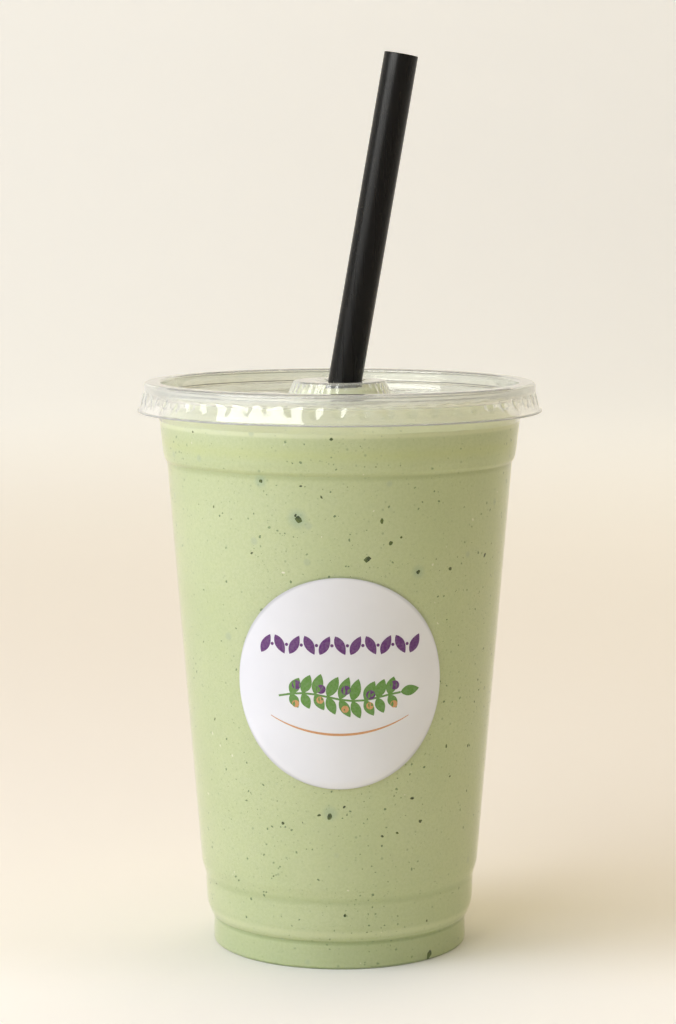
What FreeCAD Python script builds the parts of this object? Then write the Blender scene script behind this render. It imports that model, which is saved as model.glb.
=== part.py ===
"""A smoothie in a clear disposable cup: cup, drink, flat push-on lid, straw and a round label.

The frame is in millimetres, +Z up, with the origin at the centre of the circle that the foot stands on.
-Y is the front, where the label is, and the straw leans towards +X.
"""
import FreeCAD, Part
import math
import os
import re

import Sketcher

os.makedirs("parts", exist_ok=True)
doc = FreeCAD.newDocument("green_smoothie")

# The driving dimensions, in mm. Radii are of the outer side of a wall unless the name says otherwise.
SIZES = {
    # Cup: a thin deep-drawn shell with a rolled rim, a wide top band, a long taper and a stepped foot.
    "cup_height": 142.3,
    "rim_radius": 48.8,
    "rim_roll_radius": 1.65,
    "cup_wall": 0.5,
    "shoulder_drop": 15.9,  # from the rim's top down to where the top band ends
    "shoulder_height": 3.5,
    "shoulder_depth": 1.1,
    "top_band_draft": 1.5,  # how much narrower the top band is at its lower end
    "foot_radius": 32.3,
    "foot_corner": 1.2,
    "foot_ring_width": 2.6,
    "foot_height": 6.8,
    "groove_depth": 0.25,
    "belly_height": 4.8,
    "belly_depth": 1.9,
    "low_band_height": 5.8,
    "low_band_draft": 0.2,
    "step_height": 3.4,
    "step_depth": 1.0,
    "floor_rise": 2.0,  # how far the middle of the floor stands above the table
    "floor_rise_slope": 1.5,
    # Drink: fills the cup to a line under the rim, is heaped towards the middle and fills the lid's boss.
    "fill_drop": 9.2,
    "crown_gap": 0.3,  # between the heaped middle and the lid
    "crown_flat_radius": 25.0,
    # Lid: a bead that snaps over the rim, a flared skirt with small lugs, a sunk panel and a raised boss.
    "lid_wall": 0.4,
    "lid_clearance": 0.1,
    "lid_bead_round": 1.0,
    "lid_bead_height": 1.5,
    "skirt_height": 7.4,
    "skirt_upper_height": 2.8,
    "skirt_flare": 0.9,
    "lip_width": 0.6,
    "lip_thickness": 0.5,
    "panel_drop": 3.3,
    "plug_gap": 0.2,  # between the rim's inner side and the lid's plug wall
    "plug_draft": 0.3,
    "boss_radius": 11.5,
    "boss_draft": 1.5,
    "boss_height": 3.4,
    "lug_count": 54,
    "lug_width": 2.0,
    "lug_height": 1.3,
    "lug_depth": 0.4,
    "dent_depth": 0.2,
    "slot_length": 15.0,
    "slot_width": 0.5,
    "slot_clearance": 0.15,
    # Straw: a straight tube that stands in the cup and leans in the lid's slot.
    "straw_diameter": 8.5,
    "straw_wall": 0.3,
    "straw_length": 223.5,
    "straw_offset": 1.4,  # of its axis from the cup's, at the top of the boss
    "straw_foot_gap": 1.0,  # from the floor to the middle of its lower end
    "straw_foot_margin": 9.3,  # from the inside of the foot to the middle of its lower end
    # Label: a round paper sticker on the front of the taper.
    "label_radius": 26.2,
    "label_thickness": 0.12,
    "label_height": 72.5,
}

# Places that follow from the sizes. Each name may be used in any later formula.
WORKED_OUT = {
    # cup, from the foot up
    "ring_outer_radius": "foot_radius - foot_corner",
    "ring_inner_radius": "ring_outer_radius - foot_ring_width",
    "rise_radius": "ring_inner_radius - floor_rise_slope",
    "groove_radius": "foot_radius - groove_depth",
    "belly_radius": "groove_radius + belly_depth",
    "belly_top": "foot_height + belly_height",
    "belly_arc": "(belly_height ^ 2 + belly_depth ^ 2) / (2 * belly_depth)",
    "low_band_radius": "belly_radius + low_band_draft",
    "low_band_top": "belly_top + low_band_height",
    "taper_foot_radius": "low_band_radius + step_depth",
    "taper_foot": "low_band_top + step_height",
    # cup, from the rim down
    "roll_middle_radius": "rim_radius - rim_roll_radius",
    "roll_middle": "cup_height - rim_roll_radius",
    "mouth_radius": "rim_radius - 2 * rim_roll_radius",
    "neck_radius": "mouth_radius + cup_wall",
    "neck": "roll_middle - sqrt(rim_roll_radius ^ 2 - (rim_roll_radius - cup_wall) ^ 2)",
    "shoulder_top": "cup_height - shoulder_drop",
    "shoulder_top_radius": "neck_radius - top_band_draft",
    "shoulder_foot": "shoulder_top - shoulder_height",
    "shoulder_foot_radius": "shoulder_top_radius - shoulder_depth",
    "shoulder_arc": "(shoulder_height ^ 2 + shoulder_depth ^ 2) / (2 * shoulder_depth)",
    # inside of the cup
    "floor": "floor_rise + cup_wall",
    "inner_corner": "foot_corner - cup_wall",
    "band_slope": "top_band_draft / (neck - shoulder_top)",
    # lid
    "lid_top": "cup_height + lid_clearance + lid_wall",
    "skirt_radius": "rim_radius + lid_clearance + lid_wall",
    "bead_foot": "lid_top - lid_bead_height",
    "skirt_middle": "bead_foot - skirt_upper_height",
    "skirt_foot": "lid_top - skirt_height",
    "flare_radius": "skirt_radius + skirt_flare",
    "lip_radius": "flare_radius + lip_width",
    "panel": "lid_top - panel_drop",
    "panel_underside": "panel - lid_wall",
    "plug_radius": "mouth_radius - plug_gap",
    "panel_radius": "plug_radius - lid_wall - plug_draft",
    "boss_foot_radius": "boss_radius + boss_draft",
    "boss_top": "panel + boss_height",
    # drink
    "fill": "cup_height - fill_drop",
    "fill_radius": "shoulder_top_radius - cup_wall + (fill - shoulder_top) * band_slope",
    "crown": "panel_underside - crown_gap",
    "peak": "boss_top - lid_wall - crown_gap",
    "peak_radius": "boss_radius - lid_wall - crown_gap",
    "peak_foot_radius": "boss_foot_radius - lid_wall - crown_gap",
    "crown_width": "fill_radius - crown_flat_radius",
    "crown_arc": "(crown_width ^ 2 + (crown - fill) ^ 2) / (2 * (crown - fill))",
    # straw
    "straw_foot": "floor + straw_foot_gap",
    "straw_foot_x": "straw_foot_margin + cup_wall - foot_radius",
    "straw_lean": "atan((straw_offset - straw_foot_x) / (boss_top - straw_foot))",
}

sheet = doc.addObject("Spreadsheet::Sheet", "Sizes")
for row, (name, value) in enumerate(SIZES.items(), start=1):
    sheet.set(f"A{row}", name)
    sheet.set(f"B{row}", str(value))
    sheet.setAlias(f"B{row}", name)
doc.recompute()


def bound(formula):
    """The formula as an expression, with each worked-out place spelt out and each size as its cell."""

    def swap(match):
        word = match.group()
        if word in WORKED_OUT:
            return "(" + bound(WORKED_OUT[word]) + ")"
        return "Sizes." + word if word in SIZES else word

    return re.sub(r"[a-z][a-z_]*", swap, formula)


def number(formula):
    """What the formula comes to, in mm or degrees."""
    result = sheet.evalExpression(bound(formula))
    return float(getattr(result, "Value", result))


def origin_plane(body, role):
    return next(plane for plane in body.Origin.OriginFeatures if plane.Role == role)


def new_sketch(body, name, role):
    sketch = body.newObject("Sketcher::SketchObject", name)
    sketch.AttachmentSupport = (origin_plane(body, role), [""])
    sketch.MapMode = "FlatFace"
    return sketch


def pin_point(sketch, geometry, end, across, up):
    """Holds a point of the sketch at two formulas; "0" puts it on the sketch's own axis."""
    for kind, formula, axis in (("DistanceX", across, -2), ("DistanceY", up, -1)):
        if formula == "0":
            sketch.addConstraint(Sketcher.Constraint("PointOnObject", geometry, end, axis))
            continue
        constraint = sketch.addConstraint(
            Sketcher.Constraint(kind, -1, 1, geometry, end, number(formula))
        )
        sketch.setExpression(f"Constraints[{constraint}]", bound(formula))


def arc_between(start, finish, radius, side):
    """The short arc between two points; side is +1 if its centre is on the left of the way to finish.

    A sketch's arcs run anticlockwise, so with its centre on the right the arc runs from finish to start.
    """
    chord = finish.sub(start)
    middle = start.add(finish).multiply(0.5)
    left = FreeCAD.Vector(-chord.y, chord.x, 0).normalize()
    centre = middle.add(left.multiply(side * math.sqrt(radius**2 - chord.Length**2 / 4)))
    outwards = middle.sub(centre).normalize()
    crest = centre.add(outwards.multiply(radius))
    return Part.Arc(start, crest, finish) if side > 0 else Part.Arc(finish, crest, start)


def draw_outline(sketch, corners):
    """Draws a closed outline. A corner is (across, up), and one with (radius, side) more starts an arc."""
    points = [FreeCAD.Vector(number(corner[0]), number(corner[1]), 0) for corner in corners]
    joints = []
    for index, corner in enumerate(corners):
        start, finish = points[index], points[(index + 1) % len(points)]
        if len(corner) == 2:
            geometry = sketch.addGeometry(Part.LineSegment(start, finish))
            joints.append((geometry, 1, 2))
            continue
        curve = arc_between(start, finish, number(corner[2]), corner[3])
        geometry = sketch.addGeometry(curve)
        joints.append((geometry, 1, 2) if corner[3] > 0 else (geometry, 2, 1))
        constraint = sketch.addConstraint(
            Sketcher.Constraint("Radius", geometry, number(corner[2]))
        )
        sketch.setExpression(f"Constraints[{constraint}]", bound(corner[2]))
    for index, (geometry, start_end, _) in enumerate(joints):
        before, _, finish_end = joints[index - 1]
        sketch.addConstraint(
            Sketcher.Constraint("Coincident", before, finish_end, geometry, start_end)
        )
        pin_point(sketch, geometry, start_end, corners[index][0], corners[index][1])


def turned_body(name, corners):
    """A body turned about Z from an outline in radius and height."""
    body = doc.addObject("PartDesign::Body", name)
    sketch = new_sketch(body, name + "_outline", "XZ_Plane")
    draw_outline(sketch, corners)
    turn = body.newObject("PartDesign::Revolution", name + "_turn")
    turn.Profile = sketch
    turn.ReferenceAxis = (sketch, ["V_Axis"])
    turn.Angle = 360
    doc.recompute()
    return body


def inside(corner):
    """The corner moved in by the cup's wall."""
    return (corner[0] + " - cup_wall",) + corner[1:]


def backwards(corners):
    """The corners the other way round: an arc starts at its far end, with its centre on the other side."""
    turned = []
    for index in reversed(range(len(corners))):
        arc = corners[index - 1][2:] if index else ()
        if arc:
            arc = (arc[0], -arc[1])
        turned.append(corners[index][:2] + arc)
    return turned


# The cup's outer side above its foot, from the groove up to the neck under the rolled rim.
CUP_SIDE = [
    ("groove_radius", "foot_height", "belly_arc", 1),
    ("belly_radius", "belly_top"),
    ("low_band_radius", "low_band_top"),
    ("taper_foot_radius", "taper_foot"),
    ("shoulder_foot_radius", "shoulder_foot", "shoulder_arc", 1),
    ("shoulder_top_radius", "shoulder_top"),
]


def cup_inside_downwards():
    """The inner side of the cup from the top band's foot down to the middle of the floor."""
    corners = [inside(corner) for corner in backwards(CUP_SIDE)]
    corners += [
        ("foot_radius - cup_wall", "foot_corner", "inner_corner", -1),
        ("ring_outer_radius", "cup_wall"),
        ("ring_inner_radius", "cup_wall"),
        ("rise_radius", "floor"),
        ("0", "floor"),
    ]
    return corners


def make_cup():
    corners = [
        ("0", "floor_rise"),
        ("rise_radius", "floor_rise"),
        ("ring_inner_radius", "0"),
        ("ring_outer_radius", "0", "foot_corner", 1),
        ("foot_radius", "foot_corner"),
    ]
    corners += CUP_SIDE
    corners += [
        # the rolled rim: round its underside, its outer side and over its top to the mouth
        ("neck_radius", "neck", "rim_roll_radius", 1),
        ("rim_radius", "roll_middle", "rim_roll_radius", 1),
        ("roll_middle_radius", "cup_height", "rim_roll_radius", 1),
        ("mouth_radius", "roll_middle"),
    ]
    corners += cup_inside_downwards()
    return turned_body("cup", corners)


def make_drink():
    """The drink, cut round the straw's wall; it also stands inside the straw."""
    corners = [
        ("0", "peak"),
        ("peak_radius", "peak"),
        ("peak_foot_radius", "crown"),
        ("crown_flat_radius", "crown", "crown_arc", -1),
        ("fill_radius", "fill"),
    ]
    corners += cup_inside_downwards()
    heap = turned_body("drink_fill", corners)
    wall = straw_tube("drink_straw_hole", "straw_diameter / 2", "straw_diameter / 2 - straw_wall")
    cut = doc.addObject("Part::Cut", "drink")
    cut.Base = heap
    cut.Tool = wall
    return cut


def lean_like_straw(thing):
    """Stands a thing made along Z on the straw's foot and leans it as the straw leans."""
    axis = FreeCAD.Rotation(FreeCAD.Vector(0, 1, 0), number("straw_lean"))
    thing.Placement = FreeCAD.Placement(FreeCAD.Vector(0, 0, 0), axis)
    thing.setExpression("Placement.Rotation.Angle", bound("straw_lean"))
    thing.setExpression("Placement.Base.x", bound("straw_foot_x"))
    thing.setExpression("Placement.Base.z", bound("straw_foot"))


def round_rod(name, radius):
    """A leaning solid rod as long as the straw."""
    rod = doc.addObject("Part::Cylinder", name)
    rod.setExpression("Radius", bound(radius))
    rod.setExpression("Height", bound("straw_length"))
    lean_like_straw(rod)
    return rod


def straw_tube(name, outer_radius, inner_radius):
    tube = doc.addObject("Part::Cut", name)
    tube.Base = round_rod(name + "_outside", outer_radius)
    tube.Tool = round_rod(name + "_bore", inner_radius)
    return tube


def add_rectangle(sketch, left, right, low, high):
    """A rectangle in the sketch between four formulas."""
    draw_outline(sketch, [(left, low), (right, low), (right, high), (left, high)])


def lug_box(body, kind, name, inner, outer, low, high):
    """A small radial box at the skirt on the +X side, added or cut between two heights."""
    sketch = new_sketch(body, name + "_outline", "XZ_Plane")
    add_rectangle(sketch, inner, outer, low, high)
    box = body.newObject(kind, name)
    box.Profile = sketch
    box.setExpression("Length", bound("lug_width"))
    box.Midplane = True
    return box


def make_lid():
    """The lid, its snap lugs, and the crossed slots that the straw opens in the boss."""
    corners = [
        # under the lip and up the outer side
        ("flare_radius - lid_wall", "skirt_foot"),
        ("lip_radius", "skirt_foot"),
        ("lip_radius", "skirt_foot + lip_thickness"),
        ("flare_radius", "skirt_foot + lip_thickness"),
        ("skirt_radius", "skirt_middle"),
        ("skirt_radius", "lid_top - lid_bead_round", "lid_bead_round", 1),
        ("skirt_radius - lid_bead_round", "lid_top"),
        # over the bead and down to the panel, then up over the boss
        ("plug_radius - lid_wall + lid_bead_round", "lid_top", "lid_bead_round", 1),
        ("plug_radius - lid_wall", "lid_top - lid_bead_round"),
        ("panel_radius", "panel"),
        ("boss_foot_radius", "panel"),
        ("boss_radius", "boss_top"),
        ("0", "boss_top"),
        # back along the underside
        ("0", "boss_top - lid_wall"),
        ("boss_radius - lid_wall", "boss_top - lid_wall"),
        ("boss_foot_radius - lid_wall", "panel_underside"),
        ("panel_radius + lid_wall", "panel_underside"),
        ("plug_radius", "lid_top - lid_bead_round"),
        ("plug_radius + lid_bead_round", "lid_top - lid_wall"),
        ("skirt_radius - lid_bead_round", "lid_top - lid_wall"),
        ("skirt_radius - lid_wall", "lid_top - lid_bead_round"),
        ("skirt_radius - lid_wall", "skirt_middle"),
    ]
    body = turned_body("lid_shell", corners)

    inner_face = "skirt_radius - lid_wall"
    lug_top = "skirt_middle + lug_height"
    lug = lug_box(
        body,
        "PartDesign::Pad",
        "lug",
        inner_face + " - lug_depth",
        inner_face + " + lid_wall / 2",
        "skirt_middle",
        lug_top,
    )
    dent = lug_box(
        body,
        "PartDesign::Pocket",
        "dent",
        "skirt_radius - dent_depth",
        "skirt_radius + lip_width",
        "skirt_middle",
        "bead_foot",
    )
    ring = body.newObject("PartDesign::PolarPattern", "lug_ring")
    ring.Originals = [lug, dent]
    ring.Axis = (lug.Profile[0], ["V_Axis"])
    ring.Angle = 360
    ring.setExpression("Occurrences", bound("lug_count"))
    body.Tip = ring

    for name, turn in (("slot_along", 45), ("slot_across", 135)):
        sketch = new_sketch(body, name + "_outline", "XY_Plane")
        add_rectangle(
            sketch,
            "-slot_length / 2",
            "slot_length / 2",
            "-slot_width / 2",
            "slot_width / 2",
        )
        sketch.AttachmentOffset = FreeCAD.Placement(
            FreeCAD.Vector(0, 0, 0), FreeCAD.Rotation(FreeCAD.Vector(0, 0, 1), turn)
        )
        sketch.setExpression("AttachmentOffset.Base.x", bound("straw_offset"))
        slot = body.newObject("PartDesign::Pocket", name)
        slot.Profile = sketch
        slot.setExpression("Length", bound("boss_top + lid_wall"))
        slot.Reversed = True
    doc.recompute()

    lid = doc.addObject("Part::Cut", "lid")
    lid.Base = body
    lid.Tool = round_rod("lid_straw_hole", "straw_diameter / 2 + slot_clearance")
    return lid


def make_label():
    """A disc wrapped on the taper: the taper's skin where a round outline, bent round it, reaches."""
    low_radius, low = number("taper_foot_radius"), number("taper_foot")
    high_radius, high = number("shoulder_foot_radius"), number("shoulder_foot")
    slope = (high_radius - low_radius) / (high - low)
    along = 1 / math.hypot(1, slope)
    radius, middle = number("label_radius"), number("label_height")
    thickness = number("label_thickness")

    outline = []
    outline_points = 48
    for step in range(outline_points):
        turn = 2 * math.pi * step / outline_points
        height = middle + radius * math.sin(turn) * along
        wall = low_radius + (height - low) * slope
        outline.append(FreeCAD.Vector(wall * math.sin(radius * math.cos(turn) / wall), 0, height))
    curve = Part.BSplineCurve()
    curve.interpolate(Points=outline, PeriodicFlag=True)
    cutter = Part.Face(Part.Wire(curve.toShape())).extrude(FreeCAD.Vector(0, -2 * high_radius, 0))

    foot = FreeCAD.Vector(0, 0, low)
    skin = Part.makeCone(low_radius + thickness, high_radius + thickness, high - low, foot)
    skin = skin.cut(Part.makeCone(low_radius, high_radius, high - low, foot))
    label = doc.addObject("Part::Feature", "label")
    label.Shape = skin.common(cutter)
    label.Placement = FreeCAD.Placement()
    return label


straw = straw_tube("straw", "straw_diameter / 2", "straw_diameter / 2 - straw_wall")
sub_parts = {
    "cup": make_cup(),
    "drink": make_drink(),
    "lid": make_lid(),
    "straw": straw,
    "label": make_label(),
}
doc.recompute()

for thing in doc.Objects:
    faults = [state for state in thing.State if state in ("Invalid", "Error")]
    if faults:
        raise RuntimeError(f"{thing.Name} is {faults}")

for name, sub_part in sub_parts.items():
    sub_part.Label = name
    shape = sub_part.Shape
    if shape.isNull() or not shape.isValid() or len(shape.Solids) != 1:
        raise RuntimeError(f"{name} isn't one valid solid")

for name, sub_part in sub_parts.items():
    sub_part.Shape.exportStep(f"parts/{name}.step")
    print(f"{name}: {sub_part.Shape.Volume / 1000:.3f} ml")
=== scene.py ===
"""The looks of a green smoothie in a clear lidded cup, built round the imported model.

Lengths are in millimetres until a mesh is made, where MM turns them into metres.
The front, where the label is, faces -Y, and turns about Z are counted from the front, rightwards.
"""

import math
import random

import bpy
from mathutils import Matrix, Vector, noise


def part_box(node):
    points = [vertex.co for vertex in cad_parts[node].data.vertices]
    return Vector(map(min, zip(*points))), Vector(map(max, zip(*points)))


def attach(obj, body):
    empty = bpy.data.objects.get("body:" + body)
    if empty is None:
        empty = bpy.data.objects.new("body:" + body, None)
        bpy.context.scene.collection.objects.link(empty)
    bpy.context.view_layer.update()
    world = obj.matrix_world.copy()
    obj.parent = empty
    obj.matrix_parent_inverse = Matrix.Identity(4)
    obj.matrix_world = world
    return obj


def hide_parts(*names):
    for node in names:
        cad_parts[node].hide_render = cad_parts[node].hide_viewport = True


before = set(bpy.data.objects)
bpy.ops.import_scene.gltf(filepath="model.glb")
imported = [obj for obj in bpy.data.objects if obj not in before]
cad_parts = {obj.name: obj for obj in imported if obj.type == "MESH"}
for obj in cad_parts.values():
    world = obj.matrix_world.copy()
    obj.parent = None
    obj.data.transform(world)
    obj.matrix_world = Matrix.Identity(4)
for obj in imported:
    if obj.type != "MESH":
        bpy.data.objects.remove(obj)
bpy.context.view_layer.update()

MM = 0.001
BODY = "root"


def corners_of(node):
    """A node's lowest and highest corners in millimetres."""
    low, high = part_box(node)
    return Vector(low) / MM, Vector(high) / MM


CUP_HIGH = corners_of("cup")[1]
LID_LOW, LID_HIGH = corners_of("lid")
STRAW_LOW, STRAW_HIGH = corners_of("straw")
LABEL_LOW, LABEL_HIGH = corners_of("label")

# Cup
RIM_TOP = CUP_HIGH.z
RIM_RADIUS = CUP_HIGH.x
RIM_ROLL = 1.65
RIM_CURL_DEGREES = 300
CUP_WALL = 0.5
MOUTH_RADIUS = RIM_RADIUS - 2 * RIM_ROLL
NECK_RADIUS = MOUTH_RADIUS + CUP_WALL
SHOULDER_TOP = RIM_TOP - 15.9
SHOULDER_FOOT = SHOULDER_TOP - 3.5
SHOULDER_TOP_RADIUS = NECK_RADIUS - 1.5
SHOULDER_FOOT_RADIUS = SHOULDER_TOP_RADIUS - 1.1
FOOT_RADIUS = 32.3
FOOT_RING_INSIDE = 28.5
FLOOR_RISE = 2.0
GROOVE_RADIUS = FOOT_RADIUS - 0.25
GROOVE = 6.8
BELLY_RADIUS = GROOVE_RADIUS + 1.9
BELLY_TOP = GROOVE + 4.8
LOW_BAND_RADIUS = BELLY_RADIUS + 0.2
LOW_BAND_TOP = BELLY_TOP + 5.8
TAPER_FOOT_RADIUS = LOW_BAND_RADIUS + 1.0
TAPER_FOOT = LOW_BAND_TOP + 3.4

# Drink
FILL = RIM_TOP - 9.2
REACH_INTO_WALL = 0.12  # so that no air shows between drink and cup
CROWN_FLAT_RADIUS = 25.0
HEAP_EDGE = 44.2
HEAP_STEP = 0.8
HEAP_RINGS = 55
LUMPS_A_MM = 0.09  # how fine the lumps of the heap are
CROWN_GAP = 0.5
PEAK_GAP = 1.3

# Lid
LID_WALL = 0.4
LID_TOP = RIM_TOP + 0.5
LIP_RADIUS = LID_HIGH.x
LIP_THICKNESS = 0.5
FLARE_RADIUS = LIP_RADIUS - 0.6
SKIRT_FOOT = LID_LOW.z
SKIRT_RADIUS = RIM_RADIUS + 0.5
SKIRT_MIDDLE = LID_TOP - 2.6
BEAD_ROUND = 1.0
PLUG_RADIUS = MOUTH_RADIUS - 0.6
PANEL = LID_TOP - 3.3
PANEL_RADIUS = PLUG_RADIUS - 0.3
BOSS_RADIUS = 11.5
BOSS_FOOT_RADIUS = BOSS_RADIUS + 1.5
BOSS_TOP = LID_HIGH.z
FLUTES = 54
FLUTE_DEPTH = 0.45
STEPS_A_FLUTE = 8  # so that the lid stays under 200,000 triangles
FLUTE_FOOT = LID_TOP - 5.5
FLUTE_TOP = LID_TOP - 3.0
FLUTE_HALF_WIDTH = 0.30  # as shares of the way from one dent to the next
FLUTE_SIDE = 0.11
FLUTE_OVER = 0.25  # how far a dent fades out above its top, as a share of its height
BOSS_RIBS = 36
BOSS_RIB_DEPTH = 0.22
SLOT_LENGTH = 15.0
SLOT_WIDTH = 0.5
STRAW_CLEARANCE = 0.15
FLAP_REACH = 3.6  # how far from the straw the slots' flaps are bent down, and how far down
FLAP_DROP = 0.9

# Straw
STRAW_RADIUS = (STRAW_HIGH.y - STRAW_LOW.y) / 2
STRAW_WALL = 0.3
BORE_SHOWN = 40  # how far in from each end the bore's fine rings reach

# Label
LABEL_RADIUS = 26.2
LABEL_THICKNESS = 0.12
LABEL_MIDDLE = (LABEL_LOW.z + LABEL_HIGH.z) / 2
PRINT_THICKNESS = 0.03


# ------------------------------------------------------------------ outlines


def rounded(corners):
    """A path of (radius, height) points through corners (radius, height, rounding radius)."""
    path = [Vector(corners[0][:2])]
    for before, corner, after in zip(corners, corners[1:], corners[2:]):
        here = Vector(corner[:2])
        back = Vector(before[:2]) - here
        onward = Vector(after[:2]) - here
        half = back.angle(onward) / 2
        if corner[2] <= 0 or half > math.radians(89.9):
            path.append(here)
            continue
        cut = min(corner[2] / math.tan(half), 0.49 * back.length, 0.49 * onward.length)
        radius = cut * math.tan(half)
        middle_way = (back.normalized() + onward.normalized()).normalized()
        centre = here + middle_way * (radius / math.sin(half))
        spoke = here + back.normalized() * cut - centre
        turn = math.copysign(math.pi - 2 * half, onward.cross(back))
        steps = max(2, math.ceil(abs(turn) / math.radians(11)))
        path += [centre + Matrix.Rotation(turn * step / steps, 2) @ spoke for step in range(steps + 1)]
    path.append(Vector(corners[-1][:2]))
    return path


def finer(path, longest):
    """The path with its long straight runs divided."""
    result = [path[0]]
    for start, finish in zip(path, path[1:]):
        parts = max(1, math.ceil((finish - start).length / longest))
        result += [start.lerp(finish, part / parts) for part in range(1, parts + 1)]
    return result


def moved_left(path, distance):
    """The path moved to its left along its own normals."""
    result = []
    for index, here in enumerate(path):
        before = path[max(index - 1, 0)]
        after = path[min(index + 1, len(path) - 1)]
        along = (after - before).normalized()
        result.append(here + Vector((-along.y, along.x)) * distance)
    return result


def arc(centre, radius, first_degrees, last_degrees, steps):
    """Points round a circle in an outline's plane."""
    result = []
    for step in range(steps + 1):
        angle = math.radians(first_degrees + (last_degrees - first_degrees) * step / steps)
        result.append(Vector(centre) + radius * Vector((math.cos(angle), math.sin(angle))))
    return result


CUP_OUTSIDE = rounded(
    [
        (0, FLOOR_RISE, 0),
        (FOOT_RING_INSIDE - 1.5, FLOOR_RISE, 1.5),
        (FOOT_RING_INSIDE, 0, 0.9),
        (FOOT_RADIUS - 0.05, 0, 0.9),
        (GROOVE_RADIUS, GROOVE, 0.5),
        (GROOVE_RADIUS + 0.85, GROOVE + 0.9, 1.6),
        (BELLY_RADIUS - 0.25, BELLY_TOP - 1.8, 5),
        (BELLY_RADIUS, BELLY_TOP, 5),
        (LOW_BAND_RADIUS, LOW_BAND_TOP, 2.5),
        (TAPER_FOOT_RADIUS, TAPER_FOOT, 5),
        (SHOULDER_FOOT_RADIUS, SHOULDER_FOOT, 0.6),
        (SHOULDER_FOOT_RADIUS + 0.6, SHOULDER_FOOT + 0.8, 1.4),
        (SHOULDER_TOP_RADIUS - 0.1, SHOULDER_TOP - 1.0, 3),
        (SHOULDER_TOP_RADIUS, SHOULDER_TOP, 4),
        (NECK_RADIUS, RIM_TOP - 3.2, 2.0),
        (NECK_RADIUS, RIM_TOP - RIM_ROLL - 0.2, 0),
    ]
)
CUP_SIDE = [point for point in CUP_OUTSIDE if point.x > FOOT_RADIUS - 0.5]


def cup_radius(height):
    """The radius of the cup's outer side at a height."""
    for below, above in zip(CUP_SIDE, CUP_SIDE[1:]):
        if above.y >= height:
            share = (height - below.y) / max(above.y - below.y, 1e-6)
            return below.x + (above.x - below.x) * max(share, 0)
    return NECK_RADIUS


# ------------------------------------------------------------------ meshes


def place(radius, turn, height):
    """A point at a turn from the front, as seen from the front rightwards."""
    return Vector((radius * math.sin(turn), -radius * math.cos(turn), height))


def turned(outline, steps, closed=False, shape=None):
    """Vertices and faces of an outline turned about Z; shape(point, turn) may change each point."""
    vertices, rings = [], []
    for point in outline:
        first = len(vertices)
        if point.x < 1e-6:
            rings.append([first] * steps)
            height = shape(point, 0)[1] if shape else point.y
            vertices.append(Vector((0, 0, height)))
            continue
        rings.append(list(range(first, first + steps)))
        for step in range(steps):
            turn = 2 * math.pi * step / steps
            radius, height = shape(point, turn) if shape else point
            vertices.append(place(radius, turn, height))
    faces = []
    pairs = list(zip(rings, rings[1:])) + ([(rings[-1], rings[0])] if closed else [])
    for ring, above in pairs:
        for step in range(steps):
            after = (step + 1) % steps
            face = list(dict.fromkeys([ring[step], ring[after], above[after], above[step]]))
            if len(face) > 2:
                faces.append(face)
    return vertices, faces


def new_piece(name, vertices, faces, material, sharp_degrees=35):
    """A smooth mesh object from vertices in millimetres."""
    mesh = bpy.data.meshes.new(name)
    mesh.from_pydata([vertex * MM for vertex in vertices], [], faces)
    mesh.update()
    mesh.shade_smooth()
    mesh.set_sharp_from_angle(angle=math.radians(sharp_degrees))
    mesh.materials.append(material)
    piece = bpy.data.objects.new(name, mesh)
    bpy.context.collection.objects.link(piece)
    return piece


def finish_piece(piece, node=None):
    """Puts the piece on its body, in place of a node if it stands for one."""
    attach(piece, BODY)
    if node:
        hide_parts(node)
    return piece


def cut_away(piece, cutters):
    """Cuts each cutter's shape out of the piece and removes the cutters."""
    bpy.context.view_layer.objects.active = piece
    for cutter in cutters:
        cut = piece.modifiers.new("cut", "BOOLEAN")
        cut.operation = "DIFFERENCE"
        cut.solver = "EXACT"
        cut.object = cutter
        bpy.ops.object.modifier_apply(modifier=cut.name)
        bpy.data.objects.remove(cutter)


# ------------------------------------------------------------------ materials


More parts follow.
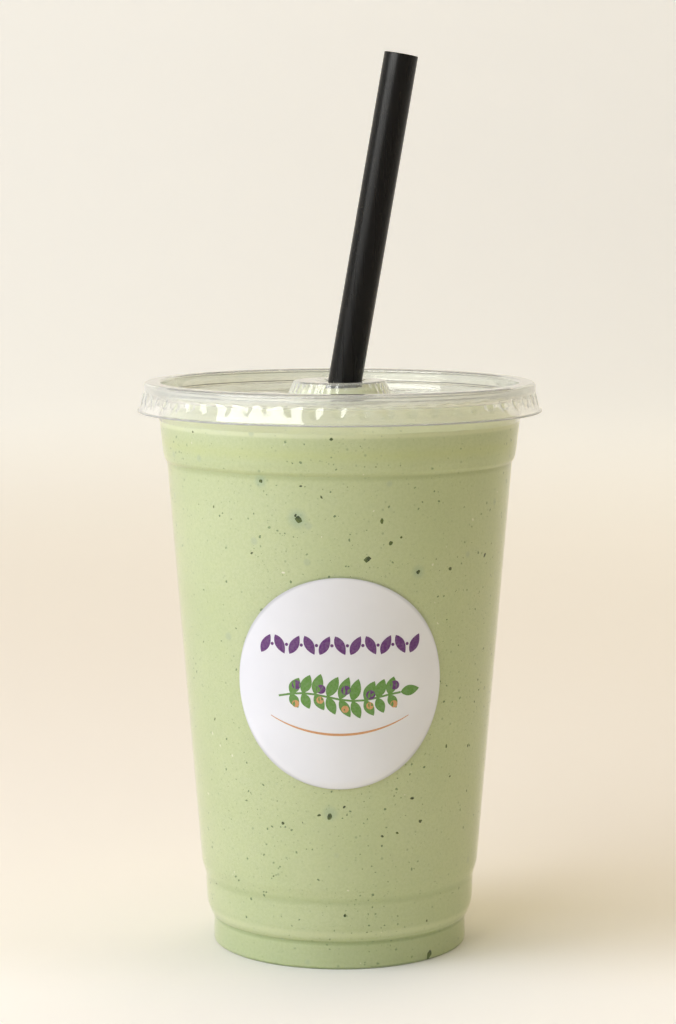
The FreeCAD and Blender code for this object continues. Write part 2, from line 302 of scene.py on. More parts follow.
class Shader:
    """A new material, with short ways to add and join its nodes."""

    def __init__(self, name):
        self.material = bpy.data.materials.new(name)
        self.material.use_nodes = True
        self.tree = self.material.node_tree
        self.surface = self.tree.nodes["Principled BSDF"]
        self.output = self.tree.nodes["Material Output"]

    def node(self, kind, inputs=None, **settings):
        """Adds a node; an input is a number, a colour or another node's output."""
        made = self.tree.nodes.new("ShaderNode" + kind)
        for name, value in settings.items():
            setattr(made, name, value)
        self.feed(made, inputs or {})
        return made

    def feed(self, made, inputs):
        for name, value in inputs.items():
            if isinstance(value, bpy.types.NodeSocket):
                self.tree.links.new(value, made.inputs[name])
            else:
                made.inputs[name].default_value = value

    def position(self):
        return self.node("TexCoord").outputs["Object"]

    def noise(self, vector, scale, detail=3.0, roughness=0.5):
        inputs = {"Vector": vector, "Scale": scale, "Detail": detail, "Roughness": roughness}
        return self.node("TexNoise", inputs).outputs["Fac"]

    def stretched(self, vector, scale):
        return self.node("Mapping", {"Vector": vector, "Scale": scale}).outputs["Vector"]

    def ramp(self, value, low, high, result_low=0.0, result_high=1.0):
        """The value taken from low..high to the results, smoothly and held at the ends."""
        inputs = {
            "Value": value,
            "From Min": low,
            "From Max": high,
            "To Min": result_low,
            "To Max": result_high,
        }
        made = self.node("MapRange", inputs, interpolation_type="SMOOTHSTEP")
        return made.outputs["Result"]

    def maths(self, operation, first, second=0.0):
        return self.node("Math", {0: first, 1: second}, operation=operation).outputs[0]

    def blend(self, share, first, second):
        """A mix of two colours."""
        made = self.node("Mix", data_type="RGBA")
        self.feed(made, {"Factor": share, 6: first, 7: second})
        return made.outputs[2]

    def bump(self, height, distance, strength=1.0):
        inputs = {"Height": height, "Distance": distance, "Strength": strength}
        return self.node("Bump", inputs).outputs["Normal"]


def rgb(red, green, blue):
    """A display colour, 0 to 255, as the linear colour that a shader takes."""
    channels = []
    for value in (red, green, blue):
        share = value / 255
        channels.append(share / 12.92 if share <= 0.04045 else ((share + 0.055) / 1.055) ** 2.4)
    return (*channels, 1.0)


def clear_plastic(name, haze, tint):
    """Thin glossy PET, a little milky. Light for what is behind it passes straight through."""
    shader = Shader(name)
    position = shader.position()
    ripple = shader.noise(position, 90.0, detail=2.0)
    shader.feed(
        shader.surface,
        {
            "Base Color": tint,
            "Transmission Weight": 1.0 - haze,
            "IOR": 1.45,
            "Roughness": 0.03,
            "Normal": shader.bump(ripple, 0.00025, 0.35),
        },
    )
    path = shader.node("LightPath")
    straight = shader.node("BsdfTransparent", {"Color": (0.96, 0.97, 0.96, 1)}).outputs[0]
    bounced = shader.node("MixShader", {0: path.outputs["Is Diffuse Ray"]})
    shader.tree.links.new(shader.surface.outputs[0], bounced.inputs[1])
    shader.tree.links.new(straight, bounced.inputs[2])
    lit = shader.node("MixShader", {0: path.outputs["Is Shadow Ray"]})
    shader.tree.links.new(bounced.outputs[0], lit.inputs[1])
    shader.tree.links.new(straight, lit.inputs[2])
    shader.tree.links.new(lit.outputs[0], shader.output.inputs["Surface"])
    return shader.material


def speck_mask(shader, position, cell, largest, share):
    """Round specks, at most one in each cell, in a share of the cells. Cell and largest are in mm."""
    cells = shader.node(
        "TexVoronoi", {"Vector": position, "Scale": 1 / (cell * MM), "Randomness": 0.9}
    )
    chance = shader.node("SeparateColor", {"Color": cells.outputs["Color"]})
    radius = shader.ramp(chance.outputs["Red"], 1 - share, 1, 0, largest / cell)
    inner = shader.maths("MULTIPLY", radius, 0.5)
    gap = shader.maths("SUBTRACT", cells.outputs["Distance"], inner)
    width = shader.maths("MAXIMUM", shader.maths("SUBTRACT", radius, inner), 0.001)
    return shader.maths(
        "SUBTRACT", 1.0, shader.node("Clamp", {"Value": shader.maths("DIVIDE", gap, width)}).outputs[0]
    )


SMOOTHIE_BODY = (0.555, 0.60, 0.325, 1)
SMOOTHIE_DEEP = (0.50, 0.56, 0.28, 1)
SMOOTHIE_GRAIN = (0.44, 0.50, 0.25, 1)
# Colour of the drink's top: froth, partly painted light from above
SMOOTHIE_FROTH_AND_TOP_LIGHT = (0.78, 0.79, 0.54, 1)
LEAF_TINT = (0.20, 0.33, 0.26, 1)

# Fine specks of colour in the drink: cell and largest speck (mm), share of cells, strength, colour.
SPECKS = (
    (1.0, 0.30, 0.45, 0.40, (0.27, 0.34, 0.17, 1)),
    (2.1, 0.42, 0.35, 0.50, (0.20, 0.28, 0.14, 1)),
    (6.5, 1.30, 0.40, 0.35, (0.36, 0.43, 0.30, 1)),
)

# Painted shade and painted light: rings round the drink, darker at the foot, the groove, the steps and
# under the lid where shade falls, lighter above the groove and at the drink's top edge where light falls:
# low, high, softness (mm), strength, colour.
SHADE_AND_LIGHT_RINGS = (
    (-3.0, GROOVE + 0.9, 1.6, 0.26, (0.36, 0.43, 0.18, 1)),
    (GROOVE - 1.0, GROOVE + 0.9, 0.8, 0.55, (0.26, 0.33, 0.12, 1)),
    (GROOVE + 1.1, GROOVE + 3.6, 1.1, 0.40, (0.72, 0.74, 0.46, 1)),
    (LOW_BAND_TOP - 1.4, LOW_BAND_TOP + 1.6, 1.3, 0.30, (0.36, 0.43, 0.18, 1)),
    (SHOULDER_FOOT - 1.5, SHOULDER_FOOT + 1.3, 1.3, 0.50, (0.36, 0.41, 0.17, 1)),
    (SHOULDER_FOOT + 2.4, FILL - 2.4, 3.0, 0.35, (0.54, 0.58, 0.21, 1)),
    (FILL - 1.2, FILL + 0.3, 0.6, 0.35, (0.80, 0.80, 0.52, 1)),
)

# Where a big bit of leaf tints the drink round it: degrees from the front, height, reach, strength.
HALOS = (
    (-13.8, 112.7, 3.2, 0.32),
    (-26.0, 121.5, 2.2, 0.30),
    (27.2, 99.4, 2.4, 0.25),
    (-3.6, 40.2, 2.6, 0.28),
)


def smoothie_material():
    """Thick pale green drink: soft mottling, fine green specks, a paler top of froth and painted light from
    above, and rings of painted shade and painted light.
    """
    shader = Shader("smoothie")
    position = shader.position()
    height = shader.node("SeparateXYZ", {"Vector": position}).outputs["Z"]

    clouds = shader.ramp(shader.noise(position, 45.0, detail=4.0), 0.35, 0.7)
    colour = shader.blend(shader.maths("MULTIPLY", clouds, 0.45), SMOOTHIE_BODY, SMOOTHIE_DEEP)
    grain = shader.ramp(shader.noise(position, 1500.0, detail=2.0), 0.35, 0.7)
    colour = shader.blend(shader.maths("MULTIPLY", grain, 0.35), colour, SMOOTHIE_GRAIN)
    # Painted shade and painted light in rings by height
    for low, high, soft, strength, tint in SHADE_AND_LIGHT_RINGS:
        share = shader.ramp(height, low * MM, (low + soft) * MM, 0.0, strength)
        above = shader.ramp(height, (high - soft) * MM, high * MM, 1.0, 0.0)
        colour = shader.blend(shader.maths("MULTIPLY", share, above), colour, tint)
    # The top painted paler: froth, and painted light from above
    froth_and_top_light_share = shader.ramp(height, (FILL - 2.0) * MM, (FILL + 1.5) * MM, 0.0, 0.5)
    colour = shader.blend(froth_and_top_light_share, colour, SMOOTHIE_FROTH_AND_TOP_LIGHT)
    for cell, largest, share, strength, tint in SPECKS:
        mask = speck_mask(shader, position, cell, largest, share)
        colour = shader.blend(shader.maths("MULTIPLY", mask, strength), colour, tint)
    for degrees, spot_height, reach, strength in HALOS:
        centre = place(cup_radius(spot_height), math.radians(degrees), spot_height) * MM
        away = shader.node("VectorMath", {0: position, 1: centre}, operation="DISTANCE")
        share = shader.ramp(away.outputs["Value"], reach * 0.3 * MM, reach * MM, strength, 0.0)
        colour = shader.blend(share, colour, LEAF_TINT)
    shader.feed(
        shader.surface,
        {
            "Base Color": colour,
            "Roughness": 0.45,
            "Specular IOR Level": 0.25,
            "Subsurface Weight": 0.25,
            "Subsurface Radius": (1.0, 1.0, 0.6),
            "Subsurface Scale": 0.0012,
        },
    )
    return shader.material


def fleck_material(name, first, second):
    """A bit of leaf or seed in one of two neighbouring colours."""
    shader = Shader(name)
    position = shader.position()
    patches = shader.ramp(shader.noise(position, 400.0, detail=2.0), 0.4, 0.6)
    shader.feed(
        shader.surface,
        {"Base Color": shader.blend(patches, first, second), "Roughness": 0.6, "Specular IOR Level": 0.2},
    )
    return shader.material


def straw_material():
    """Satin black plastic with faint streaks along its length."""
    shader = Shader("black_straw")
    position = shader.position()
    streaks = shader.noise(shader.stretched(position, (1400, 1400, 22)), 1.0, detail=3.0)
    shader.feed(
        shader.surface,
        {
            "Base Color": shader.blend(streaks, (0.002, 0.002, 0.002, 1), (0.004, 0.004, 0.004, 1)),
            "Roughness": shader.ramp(streaks, 0.2, 0.8, 0.24, 0.33),
            "Specular IOR Level": 0.22,
            "Normal": shader.bump(streaks, 0.00003, 0.4),
        },
    )
    return shader.material


def label_material():
    """White coated paper with a faint grain, and painted shade along its rim."""
    shader = Shader("label_paper")
    position = shader.position()
    fibres = shader.noise(position, 2600.0, detail=4.0)
    tone = shader.ramp(shader.noise(position, 60.0), 0.3, 0.7)
    paper = shader.blend(tone, (0.77, 0.77, 0.76, 1), (0.80, 0.80, 0.79, 1))
    centre = Vector((0, 0, LABEL_MIDDLE)) * MM
    from_centre = shader.node("VectorMath", {0: position, 1: centre}, operation="SUBTRACT").outputs[0]
    flat = shader.stretched(from_centre, (1.06, 0, 1))
    away = shader.node("VectorMath", {0: flat}, operation="LENGTH").outputs["Value"]
    # Painted shade: the paper darker towards its rim
    painted_rim_shade = shader.ramp(away, (LABEL_RADIUS - 0.7) * MM, (LABEL_RADIUS + 0.1) * MM, 0.0, 0.55)
    shader.feed(
        shader.surface,
        {
            "Base Color": shader.blend(painted_rim_shade, paper, (0.42, 0.43, 0.42, 1)),
            "Roughness": 0.5,
            "Normal": shader.bump(fibres, 0.00004, 0.3),
        },
    )
    return shader.material


def ink_material(name, colour):
    """Matt ink with a little of the paper's grain in it."""
    shader = Shader(name)
    grain = shader.ramp(shader.noise(shader.position(), 1800.0), 0.3, 0.75)
    lighter = tuple(channel * 0.8 + 0.12 for channel in colour[:3]) + (1.0,)
    shader.feed(
        shader.surface,
        {
            "Base Color": shader.blend(shader.maths("MULTIPLY", grain, 0.5), colour, lighter),
            "Roughness": 0.5,
        },
    )
    return shader.material


# ------------------------------------------------------------------ cup and drink


def make_cup(material):
    """The cup's thin wall, with its rim rolled outwards and down."""
    centre = (RIM_RADIUS - RIM_ROLL, RIM_TOP - RIM_ROLL)
    outside = finer(CUP_OUTSIDE, 5)
    inside = moved_left(outside, CUP_WALL)
    inside[0].x = 0
    last = 180 - RIM_CURL_DEGREES
    under_curl = arc(centre, RIM_ROLL - CUP_WALL, 180, last, 32)
    over_curl = arc(centre, RIM_ROLL, last, 180, 40)
    outline = outside + under_curl + over_curl + inside[::-1]
    vertices, faces = turned(outline, 224)
    return finish_piece(new_piece("cup_shell", vertices, faces, material), "cup")


CROWN = PANEL - LID_WALL - CROWN_GAP
PEAK = BOSS_TOP - LID_WALL - PEAK_GAP
FILL_RADIUS = cup_radius(FILL) - CUP_WALL + REACH_INTO_WALL


def heap_height(radius, turn):
    """How high the drink stands: heaped towards the middle and up into the lid's boss."""
    across = FILL_RADIUS - CROWN_FLAT_RADIUS
    rise = CROWN - FILL
    bend = (across**2 + rise**2) / (2 * rise)
    out = max(radius - CROWN_FLAT_RADIUS, 0)
    height = CROWN - bend + math.sqrt(bend**2 - out**2)
    spot = place(radius, turn, 0) * LUMPS_A_MM
    lumps = noise.noise(spot) * 0.7 + noise.noise(spot * 3.1) * 0.35
    if radius > CROWN_FLAT_RADIUS - 5:
        height += min(lumps, 0.35) * 0.8
    else:
        height += min(lumps, 0) * 0.6
    boss_share = min(max((BOSS_FOOT_RADIUS - 0.8 - radius) / 2.2, 0), 1)
    return height + (PEAK - CROWN) * boss_share**2 * (3 - 2 * boss_share)


def make_smoothie(material):
    """The drink out to just inside the cup's wall, with its heaped top."""
    skin = CUP_WALL - REACH_INTO_WALL
    side = [point for point in moved_left(finer(CUP_OUTSIDE, 4), skin) if point.y < FILL - 0.4]
    side[0].x = 0
    edge = cup_radius(FILL) - skin
    meniscus = [Vector((edge, FILL - 0.2)), Vector((edge - 0.05, FILL + 0.15)), Vector((edge - 0.3, FILL))]
    top = [Vector((HEAP_EDGE - HEAP_STEP * step, FILL + 1)) for step in range(HEAP_RINGS)]
    top.append(Vector((0, FILL + 1)))

    def shape(point, turn):
        if point.y > FILL + 0.5:
            return point.x, heap_height(point.x, turn)
        if point.y > FILL - 0.3:
            sway = place(1, turn, 0)
            return point.x, point.y + 0.45 * noise.noise(sway * 1.3) + 0.15 * noise.noise(sway * 6)
        return point.x, point.y

    vertices, faces = turned(side + meniscus + top, 256, shape=shape)
    return finish_piece(new_piece("smoothie", vertices, faces, material, 60), "drink")


# ------------------------------------------------------------------ flecks


def add_flake(mesh, centre, across, upwards, size, chance):
    """Adds one closed lens-shaped flake with an uneven edge to mesh, a pair of vertices and faces."""
    vertices, faces = mesh
    sides = chance.randint(6, 9)
    stretch = chance.uniform(1.0, 1.9)
    spin = Matrix.Rotation(chance.uniform(0, math.pi), 2)
    outwards = across.cross(upwards)
    first = len(vertices)
    for side in range(sides):
        angle = 2 * math.pi * side / sides
        reach = size / 2 * chance.uniform(0.65, 1.15)
        along, aside = reach * math.cos(angle) * stretch**0.5, reach * math.sin(angle) / stretch**0.5
        flat = spin @ Vector((along, aside))
        vertices.append(centre + across * flat.x + upwards * flat.y)
    bulge = min(0.10, 0.12 * size)
    vertices.append(centre + outwards * bulge)
    vertices.append(centre - outwards * bulge)
    for side in range(sides):
        here, after = first + side, first + (side + 1) % sides
        faces.append([here, after, first + sides])
        faces.append([after, here, first + sides + 1])


def flake_on_side(mesh, turn, height, size, chance):
    """A flake in the drink's skin, seen through the cup's wall."""
    radius = cup_radius(height) - CUP_WALL + REACH_INTO_WALL
    across = Vector((math.cos(turn), math.sin(turn), 0))
    slope = (cup_radius(height + 0.3) - cup_radius(height - 0.3)) / 0.6
    upwards = (place(slope, turn, 1)).normalized()
    add_flake(mesh, place(radius, turn, height), across, upwards, size, chance)


def flake_on_top(mesh, turn, radius, size, chance):
    """A flake on the heaped top of the drink."""
    across = Vector((math.cos(turn), math.sin(turn), 0))
    slope = (heap_height(radius + 0.3, turn) - heap_height(radius - 0.3, turn)) / 0.6
    upwards = place(-1, turn, -slope).normalized()
    add_flake(mesh, place(radius, turn, heap_height(radius, turn)), across, upwards, size, chance)


# The flecks that stand out: degrees round from the front, height, size.
LANDMARK_FLECKS = (
    (-13.3, 112.7, 1.9),
    (-14.4, 113.6, 0.8),
    (9.2, 103.1, 1.7),
    (13.8, 112.2, 1.1),
    (17.0, 106.8, 1.1),
    (20.5, 108.1, 0.7),
    (27.2, 99.4, 1.3),
    (-2.6, 132.1, 1.1),
    (-25.9, 121.5, 1.0),
    (40.4, 99.4, 1.1),
    (59.0, 101.5, 1.1),
    (-52.0, 132.4, 0.9),
    (-30.5, 103.9, 0.7),
    (-3.8, 39.4, 1.5),
    (-7.9, 39.8, 1.0),
    (1.8, 41.9, 0.8),
    (28.8, 43.1, 1.0),
    (33.0, 37.0, 1.1),
    (22.9, 34.7, 0.8),
    (16.7, 34.2, 0.8),
    (43.9, 55.0, 0.9),
    (2.2, 14.2, 0.9),
    (-22.4, 37.2, 0.9),
    (44.0, 1.4, 2.0),
)


def scatter(mesh, chance, number, smallest, largest, top_number=0):
    """Flakes of many small and few large sizes all over the drink, half of them in loose groups."""
    groups = [(chance.uniform(-math.pi, math.pi), FILL * chance.random()) for _ in range(60)]

    def size():
        return smallest + (largest - smallest) * chance.random() ** 4

    for _ in range(number):
        turn = chance.uniform(-math.pi, math.pi)
        height = FILL * chance.random() ** 0.85
        if chance.random() < 0.5:
            group_turn, group_height = chance.choice(groups)
            turn = group_turn + chance.gauss(0, 0.12)
            height = group_height + chance.gauss(0, 5)
        if height > 1.2:
            flake_on_side(mesh, turn, min(height, FILL - 1 - 2 * chance.random()), size(), chance)
    for _ in range(top_number):
        radius = 43 * chance.random() ** 0.5
        flake_on_top(mesh, chance.uniform(-math.pi, math.pi), radius, size(), chance)


def make_flecks(dark, green, pale):
    """One piece for each kind of fleck."""
    chance = random.Random(12)
    kinds = (
        ("flecks_dark", dark, 150, 0.18, 0.7, 30),
        ("flecks_green", green, 2600, 0.18, 0.8, 160),
        ("flecks_pale", pale, 60, 0.3, 0.8, 60),
    )
    for name, material, number, smallest, largest, top_number in kinds:
        mesh = ([], [])
        if name == "flecks_dark":
            for degrees, height, size in LANDMARK_FLECKS:
                flake_on_side(mesh, math.radians(degrees), height, size, chance)
        scatter(mesh, chance, number, smallest, largest, top_number)
        finish_piece(new_piece(name, *mesh, material))


# ------------------------------------------------------------------ lid


def smooth_share(value):
    """0 below 0, 1 above 1 and a smooth rise between."""
    value = min(max(value, 0), 1)
    return value * value * (3 - 2 * value)


def flute_dent(height, turn):
    """How deep the skirt's U-shaped dents are at a place."""
    place_in_ring = turn * FLUTES / (2 * math.pi)
    number = round(place_in_ring)
    off_middle = abs(place_in_ring - number)
    rise = (height - FLUTE_FOOT) / (FLUTE_TOP - FLUTE_FOOT)
    if rise <= 0 or rise >= 1 + FLUTE_OVER:
        return 0
    half_width = FLUTE_HALF_WIDTH * math.sqrt(min(rise, 1))
    side = smooth_share((half_width - off_middle) / FLUTE_SIDE)
    over = smooth_share((1 + FLUTE_OVER - rise) / FLUTE_OVER)
    uneven = 1 + 0.25 * noise.noise(Vector((number * 3.7, 0.5, 0)))
    return FLUTE_DEPTH * side * over * uneven


def boss_rib(height, turn):
    """How far the boss's wall stands in between its ribs."""
    share = (height - PANEL) / (BOSS_TOP - PANEL)
    if not -0.15 < share < 1.0:
        return 0
    wave = 0.5 - 0.5 * math.cos(BOSS_RIBS * turn)
    return BOSS_RIB_DEPTH * wave * smooth_share(share * 4 + 0.5) * smooth_share((0.95 - share) * 5)


def straw_line():
    """The middle of the straw's foot, and the way it points."""
    width = STRAW_HIGH.x - STRAW_LOW.x
    height = STRAW_HIGH.z - STRAW_LOW.z
    lean = 0.0
    for _ in range(30):
        lean = math.atan2(
            width - 2 * STRAW_RADIUS * math.cos(lean), height - 2 * STRAW_RADIUS * math.sin(lean)
        )
    foot = Vector(
        (
            STRAW_LOW.x + STRAW_RADIUS * math.cos(lean),
            0,
            STRAW_LOW.z + STRAW_RADIUS * math.sin(lean),
        )
    )
    return foot, Vector((math.sin(lean), 0, math.cos(lean)))


STRAW_FOOT, STRAW_WAY = straw_line()
STRAW_HOLE = STRAW_FOOT + STRAW_WAY * ((BOSS_TOP - STRAW_FOOT.z) / STRAW_WAY.z)


def lid_shape(point, turn):
    """A point of the lid's outline with its dents, ribs, bent flaps and slight unevenness."""
    radius, height = point
    spot = place(radius, turn, 0)
    if radius > NECK_RADIUS + 1:
        return radius - flute_dent(height, turn), height
    if radius > PANEL_RADIUS - 1:
        return radius, height
    height += 0.12 * noise.noise(spot * 0.05)
    if BOSS_RADIUS - 1 < radius < BOSS_FOOT_RADIUS + 0.5:
        return radius - boss_rib(height, turn), height
    if radius <= BOSS_RADIUS - 1:
        away = (spot - Vector((STRAW_HOLE.x, 0, 0))).length
        height -= FLAP_DROP * smooth_share(1 - (away - STRAW_RADIUS) / FLAP_REACH)
    return radius, height


def make_lid(material):
    """The lid, with the crossed slots and the hole that the straw has opened in its boss."""
    skirt = finer(
        rounded(
            [
                (FLARE_RADIUS + 0.1, SKIRT_FOOT, 0),
                (LIP_RADIUS, SKIRT_FOOT, 0.2),
                (LIP_RADIUS, SKIRT_FOOT + LIP_THICKNESS, 0.2),
                (FLARE_RADIUS, SKIRT_FOOT + LIP_THICKNESS, 0.25),
                (SKIRT_RADIUS - 0.1, SKIRT_MIDDLE, 1.5),
                (SKIRT_RADIUS - 0.1, LID_TOP, BEAD_ROUND),
                (PLUG_RADIUS, LID_TOP, BEAD_ROUND),
                (PLUG_RADIUS - 0.1, LID_TOP - 1.4, 1),
            ]
        ),
        0.4,
    )
    middle = finer(
        rounded(
            [
                (PLUG_RADIUS - 0.1, LID_TOP - 1.4, 0),
                (PANEL_RADIUS, PANEL, 0.7),
                (BOSS_FOOT_RADIUS, PANEL, 0.7),
                (BOSS_RADIUS, BOSS_TOP, 0.6),
                (0, BOSS_TOP, 0),
            ]
        ),
        2.4,
    )
    top = skirt + middle[1:]
    under = moved_left(top, LID_WALL)
    under[-1].x = 0
    lip_top = next(index for index, point in enumerate(top) if point.y > SKIRT_FOOT + LIP_THICKNESS)
    under = under[lip_top:]
    under[0] = Vector((FLARE_RADIUS - LID_WALL + 0.1, SKIRT_FOOT))
    vertices, faces = turned(top + under[::-1], FLUTES * STEPS_A_FLUTE, closed=True, shape=lid_shape)
    piece = new_piece("lid_shell", vertices, faces, material, 40)
    cutters = [slot_cutter(45), slot_cutter(135), rod_cutter(STRAW_RADIUS + STRAW_CLEARANCE)]
    cut_away(piece, cutters)
    piece.data.set_sharp_from_angle(angle=math.radians(40))
    return finish_piece(piece, "lid")


def slot_cutter(degrees):
    """A thin box through the boss's top, turned about the straw's hole."""
    half = Vector((SLOT_LENGTH / 2, SLOT_WIDTH / 2, 2.5))
    spin = Matrix.Rotation(math.radians(degrees), 3, "Z")
    vertices = []
    for up in (-1, 1):
        for across, along in ((-1, -1), (1, -1), (1, 1), (-1, 1)):
            corner = Vector((across * half.x, along * half.y, up * half.z))
            vertices.append(spin @ corner + STRAW_HOLE)
    faces = [[3, 2, 1, 0], [4, 5, 6, 7], [0, 1, 5, 4], [1, 2, 6, 5], [2, 3, 7, 6], [3, 0, 4, 7]]
    return new_piece("slot_cutter", vertices, faces, None)


def along_straw(vertices):
    """Points made along Z from the origin, moved to the straw's foot and way."""
    lean = STRAW_WAY.to_track_quat("Z", "Y")
    return [lean @ vertex + STRAW_FOOT for vertex in vertices]


def rod_cutter(radius):
    """A rod along the straw, through the lid."""
    low = (PANEL - 3 - STRAW_FOOT.z) / STRAW_WAY.z
    high = low + 12
    outline = [Vector((0, low)), Vector((radius, low)), Vector((radius, high)), Vector((0, high))]
    vertices, faces = turned(outline, 64)
    return new_piece("rod_cutter", along_straw(vertices), faces, None)


# ------------------------------------------------------------------ straw and label


def make_straw(material):
    """A straight thin tube with softened ends."""
    length = (STRAW_HIGH.z - STRAW_LOW.z - 2 * STRAW_RADIUS * STRAW_WAY.x) / STRAW_WAY.z
    bore = STRAW_RADIUS - STRAW_WALL
    soft = STRAW_WALL * 0.45
    outline = rounded(
        [
            (bore, BORE_SHOWN, 0),
            (bore, 0, soft),
            (STRAW_RADIUS, 0, soft),
            (STRAW_RADIUS, length, soft),
            (bore, length, soft),
            (bore, length - BORE_SHOWN, 0),
        ]
    )
    vertices, faces = turned(finer(outline, 6), 72, closed=True)
    piece = new_piece("straw_tube", along_straw(vertices), faces, material)
    return finish_piece(piece, "straw")


def on_label(across, up, lift):
    """A place on the label, from its middle, at a lift over the cup's taper."""
    slope = (SHOULDER_FOOT_RADIUS - TAPER_FOOT_RADIUS) / (SHOULDER_FOOT - TAPER_FOOT)
    height = LABEL_MIDDLE + up / math.hypot(1, slope)
    radius = TAPER_FOOT_RADIUS + (height - TAPER_FOOT) * slope
    return place(radius + lift, across / radius, height)


def make_label(material):
    """A round sticker bent round the cup."""
    edge = [
        (LABEL_RADIUS - 0.02, 0.0),
        (LABEL_RADIUS, LABEL_THICKNESS * 0.5),
        (LABEL_RADIUS - 0.05, LABEL_THICKNESS),
    ]
    rings = [(LABEL_RADIUS * step / 12, 0.0) for step in range(12)] + edge
    rings += [(LABEL_RADIUS * step / 12, LABEL_THICKNESS) for step in range(11, -1, -1)]
    flat, faces = turned([Vector(ring) for ring in rings], 160)
    vertices = [on_label(-point.x, point.y, point.z) for point in flat]
    piece = new_piece("label_disc", vertices, faces, material, 50)
    return finish_piece(piece, "label")


def add_patch(mesh, outline, middle):
    """Adds a thin closed patch of print, star-shaped about its middle, to mesh."""
    vertices, faces = mesh
    low = LABEL_THICKNESS - PRINT_THICKNESS / 2
    high = LABEL_THICKNESS + PRINT_THICKNESS
    first = len(vertices)
    count = len(outline)
    for lift in (low, high):
        vertices.extend(on_label(*point, lift) for point in outline)
    vertices.append(on_label(*middle, low))
    vertices.append(on_label(*middle, high))
    for step in range(count):
        here, after = first + step, first + (step + 1) % count
        faces.append([after, here, first + 2 * count])
        faces.append([here + count, after + count, first + 2 * count + 1])
        faces.append([here, after, after + count, here + count])


def leaf(root, degrees, length, width):
    """The outline and the middle of a pointed leaf."""
    way = Vector((math.cos(math.radians(degrees)), math.sin(math.radians(degrees))))
    side = Vector((-way.y, way.x))
    steps = 10
    outline = []
    for step in range(steps):
        share = step / steps
        bulge = math.sin(math.pi * share) ** 0.8 * (1.15 - 0.3 * share)
        outline.append(Vector(root) + way * length * share - side * width / 2 * bulge)
    for step in range(steps):
        share = 1 - step / steps
        bulge = math.sin(math.pi * share) ** 0.8 * (1.15 - 0.3 * share)
        outline.append(Vector(root) + way * length * share + side * width / 2 * bulge)
    return outline, Vector(root) + way * length / 2


def dot(centre, radius):
    sides = 18
    outline = arc(centre, radius, 0, 360 - 360 / sides, sides - 1)
    return outline, Vector(centre)


def stroke(points, widths):
    """Short overlapping patches that follow a line."""
    patches = []
    for start, finish, wide, narrow in zip(points, points[1:], widths, widths[1:]):
        way = (finish - start).normalized()
        side = Vector((-way.y, way.x)) / 2
        outline = [start - side * wide, finish - side * narrow, finish + side * narrow, start + side * wide]
        patches.append((outline, (start + finish) / 2))
    return patches


def make_print(purple, green, gold):
    """A plain print: a garland over a leafy sprig with berries, on a thin curved line."""
    prints = {"print_purple": ([], purple), "print_green": ([], green), "print_gold": ([], gold)}
    violet = prints["print_purple"][0]
    leafy = prints["print_green"][0]
    golden = prints["print_gold"][0]

    garland = 9.6
    for number in range(-5, 6):
        tilt = 62 if number % 2 else -62
        across = number * 3.7
        violet.append(leaf((across - 1.1, garland - math.copysign(2.3, tilt)), tilt, 5.2, 2.3))
        if number < 5:
            violet.append(dot((across + 1.85, garland), 0.4))

    stem = [Vector((-15 + 3 * step, -3.2 + 0.9 * math.sin(step * 0.75))) for step in range(11)]
    leafy += stroke(stem, [0.5] * len(stem))
    for step, joint in enumerate(stem[1:-1]):
        long = 6.0 - abs(step - 4) * 0.35
        leafy.append(leaf(joint, 62 + 6 * (step % 3), long, 2.7))
        leafy.append(leaf(joint, -60 - 6 * (step % 2), long * 0.85, 2.4))
    leafy.append(leaf(stem[-1], 8, 5.0, 2.6))
    for step, joint in enumerate(stem[1:-1:2]):
        violet.append(dot(joint + Vector((1.5, 2.3 - step % 2)), 1.15))
        golden.append(dot(joint + Vector((1.3, -2.4 + step % 2)), 0.9))
    steps = 28
    line = arc((0, 24), 36.5, 242, 298, steps)
    widths = [0.15 + 0.45 * math.sin(math.pi * step / steps) for step in range(steps + 1)]
    golden += stroke(line, widths)

    for name, (patches, ink) in prints.items():
        mesh = ([], [])
        for outline, middle in patches:
            add_patch(mesh, [tuple(point) for point in outline], tuple(middle))
        finish_piece(new_piece(name, *mesh, ink))


# ------------------------------------------------------------------ stage, light and camera


def make_stage():
    """A pale floor that curves up into a wall all round. The paper glows as painted light: more away from
    the cup, less on the camera's side, more on the left than the right, with a painted pool of light just
    in front of the cup.
    """
    shader = Shader("stage_paper")
    position = shader.position()
    fibres = shader.noise(position, 700.0, detail=4.0)
    away = shader.node("VectorMath", {0: position}, operation="LENGTH").outputs["Value"]
    depth = shader.node("SeparateXYZ", {"Vector": position}).outputs["Y"]
    from_front = shader.ramp(depth, -0.8, 0.3, FRONT_GLOW, 1.0)
    glow = shader.maths("MULTIPLY", shader.ramp(away, *GLOW_SPAN), from_front)
    across = shader.node("SeparateXYZ", {"Vector": position}).outputs["X"]
    glow = shader.maths("MULTIPLY", glow, shader.ramp(across, -0.5, 0.5, *SIDE_GLOW))
    near = shader.ramp(away, *NEAR_REACH, NEAR_GLOW, 0.0)
    near = shader.maths("MULTIPLY", near, shader.ramp(depth, *NEAR_SPAN, 1.0, 0.0))
    glow = shader.maths("ADD", glow, near)
    shader.feed(
        shader.surface,
        {
            "Base Color": (0.92, 0.885, 0.79, 1),
            "Roughness": 0.9,
            "Specular IOR Level": 0.1,
            "Normal": shader.bump(fibres, 0.0002, 0.1),
            "Emission Color": WALL_GLOW,
            "Emission Strength": glow,
        },
    )
    corners = [(0, 0, 0), (STAGE_RADIUS, 0, STAGE_BEND), (STAGE_RADIUS, STAGE_HEIGHT, 0)]
    outline = finer(rounded(corners), 200)
    vertices, faces = turned(outline, 96)
    stage = new_piece("stage_floor", vertices, faces, shader.material)


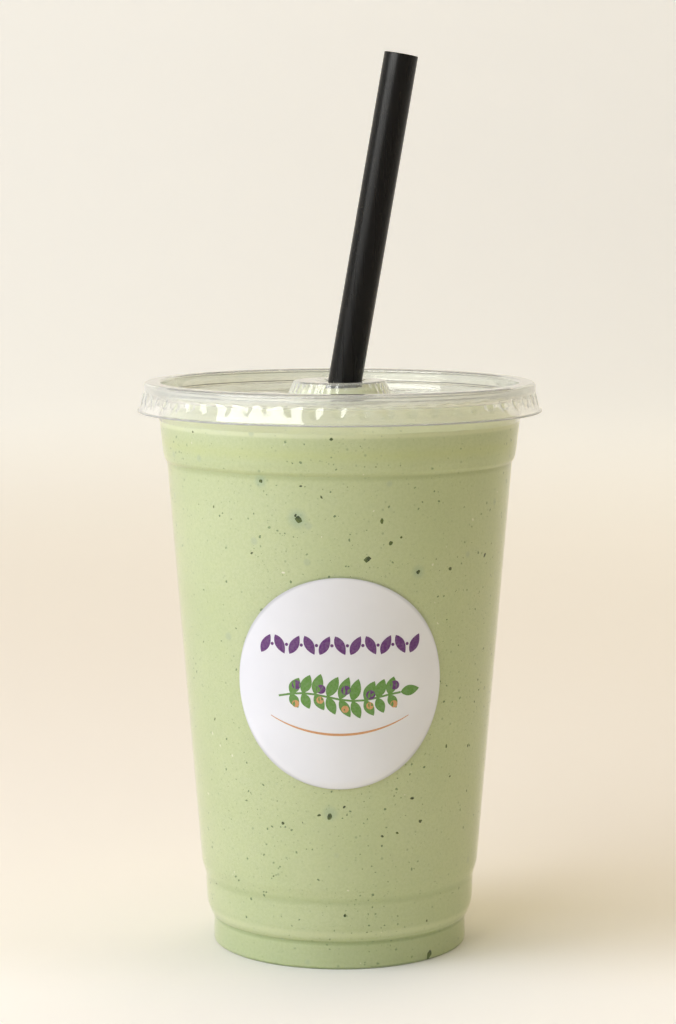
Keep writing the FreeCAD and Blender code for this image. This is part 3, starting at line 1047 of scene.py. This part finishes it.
def soft_light(name, azimuth, elevation, distance, size, radiance, colour, seen_by):
    """A rectangular softbox that faces the cup from a direction counted from the camera's side."""
    target = Vector((0, 0, 0.12))
    level = distance * math.cos(math.radians(elevation))
    out = place(level, math.radians(azimuth), distance * math.sin(math.radians(elevation)))
    data = bpy.data.lights.new(name, "AREA")
    data.shape = "RECTANGLE"
    data.size, data.size_y = size
    data.energy = radiance * math.pi * size[0] * size[1]
    data.color = colour
    light = bpy.data.objects.new(name, data)
    bpy.context.collection.objects.link(light)
    light.location = target + out
    light.rotation_euler = (-out).to_track_quat("-Z", "Y").to_euler()
    light.visible_camera = False
    light.visible_diffuse = seen_by == "matt"
    light.visible_glossy = seen_by == "gloss"
    light.visible_transmission = seen_by == "gloss"


STAGE_RADIUS = 2300
STAGE_BEND = 700
STAGE_HEIGHT = 1300

# Name, direction and distance from the cup (degrees, m), size (m), radiance, colour, what sees it.
SOFTBOXES = (
    ("key", -48, 33, 1.0, (0.93, 0.60), 2.9, (0.79, 0.88, 1.05), "matt"),
    ("glint", -48, 29, 1.0, (0.93, 0.56), 6.6, (1.0, 1.0, 0.97), "gloss"),
    ("sky", 0, 88, 1.9, (3.0, 3.0), 0.5, (1.0, 0.97, 0.88), "gloss"),
    ("side", -75, 15, 1.3, (1.0, 1.2), 2.75, (0.73, 0.77, 1.06), "matt"),
    ("back", 150, 40, 1.5, (1.0, 1.0), 0.95, (0.84, 0.88, 0.86), "matt"),
    ("top", 180, 78, 1.7, (1.6, 1.6), 2.5, (0.92, 0.75, 0.54), "matt"),
)

# The room and the paper
ROOM_COLOUR = (1.0, 0.9, 0.74, 1)
ROOM_STRENGTH = 0.04
WALL_GLOW = (0.28, 0.298, 0.31, 1)
GLOW_SPAN = (0.35, 1.7)  # how far from the cup the paper starts to glow, and glows fully (m)
FRONT_GLOW = 0.18  # how much of that is left on the camera's side
SIDE_GLOW = (1.12, 0.88)  # and on the left and on the right
NEAR_SPAN = (-0.06, 0.0)  # where the paper just in front of the cup glows fully, and not at all (m)
NEAR_REACH = (0.08, 0.30)  # how far from the cup that glow starts to fade, and ends (m)
NEAR_GLOW = 0.375


def make_world(colour, strength):
    world = bpy.data.worlds.new("room")
    world.use_nodes = True
    background = world.node_tree.nodes["Background"]
    background.inputs["Color"].default_value = colour
    background.inputs["Strength"].default_value = strength
    bpy.context.scene.world = world


CAMERA_PLACE = (-0.0004, -0.6954, 0.1915)
CAMERA_DOWN = 6.72  # degrees
CAMERA_LENS = 97.49
CAMERA_SENSOR = 36


def make_camera():
    """The camera, in front of the cup and a little above it."""
    data = bpy.data.cameras.new("camera")
    data.lens = CAMERA_LENS
    data.sensor_width = CAMERA_SENSOR
    camera = bpy.data.objects.new("camera", data)
    bpy.context.collection.objects.link(camera)
    camera.location = CAMERA_PLACE
    camera.rotation_euler = (math.radians(90 - CAMERA_DOWN), 0, 0)
    bpy.context.scene.camera = camera


# ------------------------------------------------------------------ the whole


make_cup(clear_plastic("cup_plastic", 0.0, (0.975, 0.985, 0.975, 1)))
make_lid(clear_plastic("lid_plastic", 0.14, (0.975, 0.975, 0.93, 1)))
make_smoothie(smoothie_material())
make_flecks(
    fleck_material("dark_fleck", (0.025, 0.045, 0.008, 1), (0.085, 0.125, 0.018, 1)),
    fleck_material("green_fleck", (0.17, 0.24, 0.10, 1), (0.27, 0.35, 0.16, 1)),
    fleck_material("pale_fleck", (0.78, 0.76, 0.58, 1), (0.7, 0.7, 0.5, 1)),
)
make_straw(straw_material())
make_label(label_material())
make_print(
    ink_material("purple_ink", rgb(92, 32, 105)),
    ink_material("green_ink", rgb(92, 140, 52)),
    ink_material("gold_ink", rgb(205, 150, 92)),
)
make_stage()
make_world(ROOM_COLOUR, ROOM_STRENGTH)
for softbox in SOFTBOXES:
    soft_light(*softbox)
make_camera()

scene = bpy.context.scene
scene.view_settings.view_transform = "Standard"
scene.cycles.transparent_max_bounces = 32
